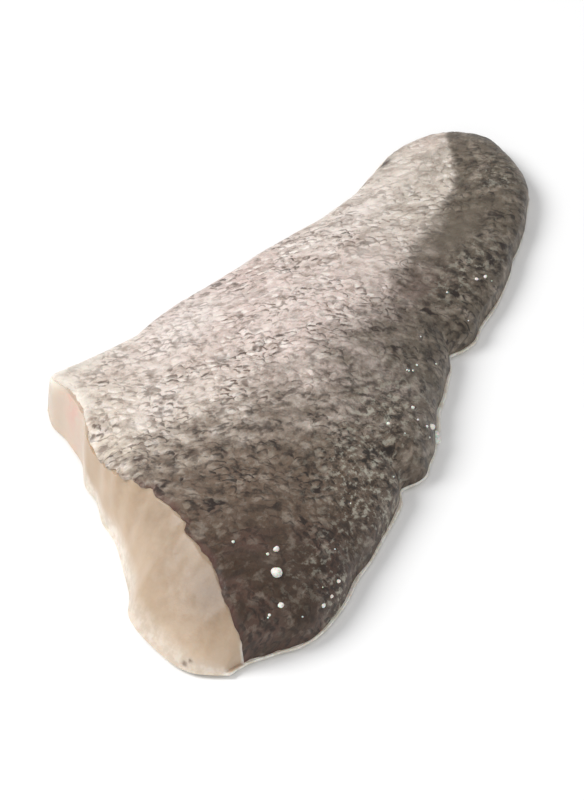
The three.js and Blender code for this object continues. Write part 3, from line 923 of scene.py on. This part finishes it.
def skin_tone(x, y):
    """From 0 on the pale belly side to 1 on the dark back."""
    pale, half, dark = (np.interp(x, TONE_LINES[:, 0], TONE_LINES[:, i]) for i in (1, 2, 3))
    wander = rough(x, y, TONE_WANDER) * np.minimum(1, (pale - dark) / WANDER_WIDTH + WANDER_LEAST)
    y_tone = y - wander
    first = HALF_TONE * np.clip((pale - y_tone) / (pale - half), 0, 1)
    second = (1 - HALF_TONE) * np.clip((half - y_tone) / (half - dark), 0, 1)
    tone = first + second
    return np.clip(lerp(tone, step(tone, 0, 1), TONE_EASING) + patches(x, y, CLOUDS), 0, 1)


def skin_marks(x, y, from_belly, from_cut):
    """The attributes that the skin's colour reads."""
    worn_belly = 1 - step(from_belly + rough(x, y, WORN_BELLY_WANDER), *WORN_BELLY)
    worn_belly = worn_belly * (1 - step(x, *WORN_BELLY_ENDS_X))
    worn_lip = 1 - step(from_cut + rough(x, y, WORN_LIP_WANDER), *WORN_LIP)
    worn_lip = worn_lip * step(y, *WORN_LIP_FROM_Y)
    raw = 1 - step(from_cut + rough(x, y, RAW_WANDER), *RAW_WIDTH)
    marks = {name: np.clip(patches(x, y, rows), 0, 1) for name, rows in SKIN_PLACES.items()}
    marks["tone"] = skin_tone(x, y)
    marks["along"] = x / LENGTH + 0.5
    marks["bare"] = np.maximum(worn_belly, worn_lip)
    marks["raw"] = raw * (1 - step(y, *RAW_ENDS_Y))
    return marks


def scale_places(x, y, z, rows, columns, order):
    """Scale counts along the fish and across it, measured over the dome of the skin."""
    points = np.column_stack([x, y, z])[order].reshape(rows + 1, columns + 1, 3)
    along, across = points[..., 0].copy(), points[..., 1].copy()
    steps = np.diff(points, axis=0)
    along[1:] += np.cumsum(np.hypot(steps[..., 0], steps[..., 2]) - np.abs(steps[..., 0]), axis=0)
    steps = np.diff(points, axis=1)
    extra = np.zeros(across.shape)
    extra[:, 1:] = np.cumsum(np.hypot(steps[..., 1], steps[..., 2]) - np.abs(steps[..., 1]), axis=1)
    across += extra - extra[:, [columns // 2]]
    u, v = np.empty(len(x)), np.empty(len(x))
    u[order], v[order] = along.ravel(), across.ravel()
    u = u + SCALE_ROWS_LEAN * v + rough(x, y, SCALES_WANDER_ALONG)
    v = v + rough(x, y, SCALES_WANDER_ACROSS)
    return u / SCALE_LENGTH, v / SCALE_WIDTH


def pocket_height(p, q):
    """The relief of one scale pocket, rising towards the tail and then dropping."""
    a, b = p + q, p - q
    fa, fb = a - np.floor(a), b - np.floor(b)
    along, across = (fa + fb) / 2, (fa - fb) / 2
    reach = np.clip(along + POCKET_CURVE * across**2, 0, 1)
    return step(reach, *POCKET_RISES) * (1 - step(reach, *POCKET_DROPS)) - POCKET_SINKS


def skin_place(row, column):
    """Where a point of the skin sheet lies: s, t, its share across, and how far up it is on the walls
    that hang down at the back and the tail, to just above the bare rim, with that edge's height."""
    wall = np.clip(column / WALL_COLUMNS, 0, 1)
    tail_wall = np.clip((1 - row) / WALL_ROWS, 0, 1)
    share = bunched(np.clip((column - WALL_COLUMNS) / (1 - WALL_COLUMNS), 0, 1), SKIN_BUNCHING)
    length = length_at(share)
    torn = rough(share * HEAD_CUT_LENGTH, 0 * share, SKIN_TORN_AT_CUT)
    start = skin_start(share) + (SKIN_STEP_RUN + torn) / length
    tail_out = TAIL_OVERHANG * step(share, *TAIL_OVERHANG_STARTS) * (1 - step(share, *TAIL_OVERHANG_ENDS))
    tail_run = SKIN_STEP_RUN * tail_wall**WALL_RUN_POWER - tail_out * (1 - tail_wall)
    end = 1 - (BACK_MARGIN + tail_run) / length
    s = lerp(start, end, np.where(row > 1 - WALL_ROWS, 1, np.clip(row / (1 - WALL_ROWS), 0, 1)))

    width = width_at(s)
    hang = np.interp(plan(s, 0 * s)[:, 0], HANG_LINE[:, 0], HANG_LINE[:, 1])
    out = BACK_OVERHANG * (1 - step(hang, *OVERHANG_FADES)) * (1 - step(s, *BACK_OVERHANG_ENDS))
    first = (back_margin(s) + SKIN_STEP_RUN * wall**WALL_RUN_POWER - out * (1 - wall)) / width
    ragged = rough(s * BELLY_LENGTH, 0 * s, SKIN_TORN_AT_BELLY)
    last = 1 - (belly_margin(s) + SKIN_STEP_RUN + ragged) / width
    t = np.where(column < WALL_COLUMNS, first, lerp(first, last, share))
    return s, t, share, wall, tail_wall, np.where(tail_wall < 1, TAIL_HANG, hang)


def make_skin():
    """The skin, and the points of its outer face in millimetres."""
    rows, columns = SKIN_GRID
    skin = add_sheet("skin", rows, columns)
    at = vertices_of(skin)
    row, column = np.clip(at[:, 0], 0, 1), np.clip(at[:, 1], 0, 1)
    order = np.lexsort((np.round(column * columns), np.round(row * rows)))
    s, t, share, wall, tail_wall, hang = skin_place(row, column)
    width, length = width_at(s), length_at(share)
    p = plan(s, t)
    x, y = p[:, 0] - MIDDLE[0], p[:, 1] - MIDDLE[1]
    foot = hang + rough(x, y, HANG_WANDER)
    up = wall**WALL_RISE_POWER * tail_wall**WALL_RISE_POWER
    z = lerp(foot, flesh_top(s, t) + SKIN_THICKNESS, up)
    from_rim = np.minimum(row * length, (1 - share) * width)
    z = z - SKIN_EDGE_DROP * (1 - step(from_rim, *SKIN_EDGE_DROPS))

    # the relief of the scales, smoothed where the skin is plain or worn
    count_along, count_across = scale_places(x, y, z, rows, columns, order)
    marks = skin_marks(x, y, (1 - t) * width - belly_margin(s), row * length)
    smoothed = (1 - SMOOTHING * marks["calm"]) * (1 - SMOOTHING * marks["bare"])
    relief = POCKET_RELIEF * pocket_height(count_along, count_across) * smoothed
    relief = relief + rough(x, y, SKIN_WRINKLES)
    z = z + relief * step(from_rim, *RELIEF_STARTS) * wall * tail_wall
    place_vertices(skin, np.column_stack([p, z]))
    outer_face = vertices_of(skin) / MM

    set_attributes(skin, marks)
    uv = skin.data.uv_layers.active or skin.data.uv_layers.new(name="scales")
    uv.name = "scales"
    corner = np.empty(len(skin.data.loops), dtype=int)
    skin.data.loops.foreach_get("vertex_index", corner)
    uv.data.foreach_set("uv", np.column_stack([count_along[corner], count_across[corner]]).ravel())

    thick = skin.modifiers.new("thickness", "SOLIDIFY")
    thick.thickness = (SKIN_THICKNESS + SKIN_SINKS_IN) * MM
    thick.offset = -1
    apply_modifiers(skin)
    shade_smooth(skin, 50)
    skin.data.materials.append(skin_finish())
    return skin, outer_face


# ---- frost ----
# The beads that stand out: X, Y and radius.
BEADS = [(-75.3, -35.6, 1.35), (-69.9, -32.4, 0.75), (-81.4, -40.0, 0.7), (-84.8, -38.8, 0.4),
         (-68.6, -45.8, 0.5), (-72.5, -45.9, 0.55), (-64.6, -44.8, 0.5), (-72.4, -31.6, 0.4),
         (-5.1, -37.6, 1.4), (-3.6, -37.9, 0.9), (-6.7, -37.0, 0.8), (-4.6, -36.7, 0.7), (-8.8, -36.7, 0.35),
         (-7.6, -32, 0.5), (-17.8, -31.4, 0.45), (44, -21.3, 0.45), (46.8, -22.1, 0.5), (-74.8, -23.8, 0.4)]
CRUMBS = 18  # smaller ones, strewn along the back
CRUMB_X = (-88, 56)
CRUMB_RADIUS = (0.16, 0.3)
CRUMB_FROM_BACK = (0.4, 9.0)
ROUND_FROM = 0.5  # beads larger than this get finer faces
BEAD_LIFT = 0.25  # how much of its radius a bead stands up over the skin
BEAD_FLATNESS = 0.8
BEAD_STRETCH = (0.8, 1.1)
# The lumps of a bead: how high, how close together, and along which axis.
BEAD_LUMPS = [(0.07, 3.1, 0), (0.06, 4.3, 1)]


def add_bead(place, radius, draw):
    """One bead of ice, a little lumpy."""
    bpy.ops.mesh.primitive_ico_sphere_add(subdivisions=3 if radius > ROUND_FROM else 2, radius=radius * MM,
                                          location=(Vector(place) + Vector((0, 0, BEAD_LIFT * radius))) * MM)
    bead = bpy.context.active_object
    points = vertices_of(bead)
    turn = draw.uniform(0, 6.3, 3)
    along = points / np.linalg.norm(points, axis=1)[:, None]
    swell = 1 + sum(height * np.sin(pitch * along[:, i] + turn[i]) for height, pitch, i in BEAD_LUMPS)
    points = points * swell[:, None] * np.array([1, draw.uniform(*BEAD_STRETCH), BEAD_FLATNESS])
    bead.data.vertices.foreach_set("co", points.ravel())
    return bead


def make_frost(skin_points):
    draw = np.random.default_rng(23)
    rows = BEADS + [(draw.uniform(*CRUMB_X), None, draw.uniform(*CRUMB_RADIUS)) for _ in range(CRUMBS)]
    deselect_all()
    beads = []
    for x, y, radius in rows:
        if y is None:
            beside = skin_points[np.abs(skin_points[:, 0] - x) < 1.0]
            y = beside[:, 1].min() + draw.uniform(*CRUMB_FROM_BACK)
        nearest = np.argmin((skin_points[:, 0] - x) ** 2 + (skin_points[:, 1] - y) ** 2)
        beads.append(add_bead(skin_points[nearest], radius, draw))
    pick(beads[0])
    for bead in beads:
        bead.select_set(True)
    bpy.ops.object.join()
    frost = bpy.context.active_object
    frost.name = frost.data.name = "frost_beads"
    bpy.ops.object.transform_apply(location=True, rotation=True, scale=True)
    shade_smooth(frost, 80)
    frost.data.materials.append(frost_finish())
    return frost


# ---- the object ----
flesh = make_flesh()
skin, skin_face = make_skin()
frost = make_frost(skin_face)

for piece, slot in ((flesh, "fillet_flesh"), (skin, "fillet_skin"), (frost, "frost")):
    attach(piece, "root")
    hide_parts("fillet")

# ---- studio, in metres ----
FLOOR_SIZE = 6
FLOOR_DROP = 0.00005  # keeps the floor clear of the flesh that rests on it
WORLD_STRENGTH = 0.55
# Name, place, width and watts.
LAMPS = [("key_lamp", (-0.55, 0.95, 1.15), 0.9, 19), ("fill_lamp", (-1.1, -0.7, 0.8), 1.0, 4)]

bpy.ops.mesh.primitive_grid_add(x_subdivisions=8, y_subdivisions=8, size=FLOOR_SIZE,
                                location=(0, 0, -FLOOR_DROP))
floor = bpy.context.active_object
floor.name = "studio_floor"
floor.data.materials.append(floor_finish())

world = bpy.data.worlds.new("studio")
bpy.context.scene.world = world
world.use_nodes = True
sky = world.node_tree.nodes["Background"]
sky.inputs["Color"].default_value = (1.0, 1.0, 1.0, 1)
sky.inputs["Strength"].default_value = WORLD_STRENGTH


def add_lamp(name, place, size, power):
    """A round soft lamp that shines at the origin."""
    bpy.ops.object.light_add(type="AREA", location=place)
    lamp = bpy.context.active_object
    lamp.name = name
    lamp.data.shape = "DISK"
    lamp.data.size = size
    lamp.data.energy = power
    lamp.rotation_euler = (-Vector(place)).to_track_quat("-Z", "Y").to_euler()


for lamp in LAMPS:
    add_lamp(*lamp)

# ---- camera ----
AZIMUTH, ELEVATION = math.radians(-60), math.radians(40)
TARGET = Vector((-0.0079, -0.0004, 0))
DISTANCE = 1.1
VIEW_HEIGHT = 0.187  # what the picture's height takes in at the target
SENSOR = 36  # millimetres
back = Vector((math.sin(AZIMUTH) * math.cos(ELEVATION), -math.cos(AZIMUTH) * math.cos(ELEVATION),
               math.sin(ELEVATION)))
bpy.ops.object.camera_add(location=TARGET + back * DISTANCE)
camera = bpy.context.active_object
camera.name = "camera"
camera.rotation_euler = (-back).to_track_quat("-Z", "Y").to_euler()
camera.data.sensor_width = SENSOR
camera.data.lens = SENSOR * DISTANCE / VIEW_HEIGHT
camera.data.clip_end = 20
bpy.context.scene.camera = camera
bpy.context.scene.view_settings.view_transform = "Standard"
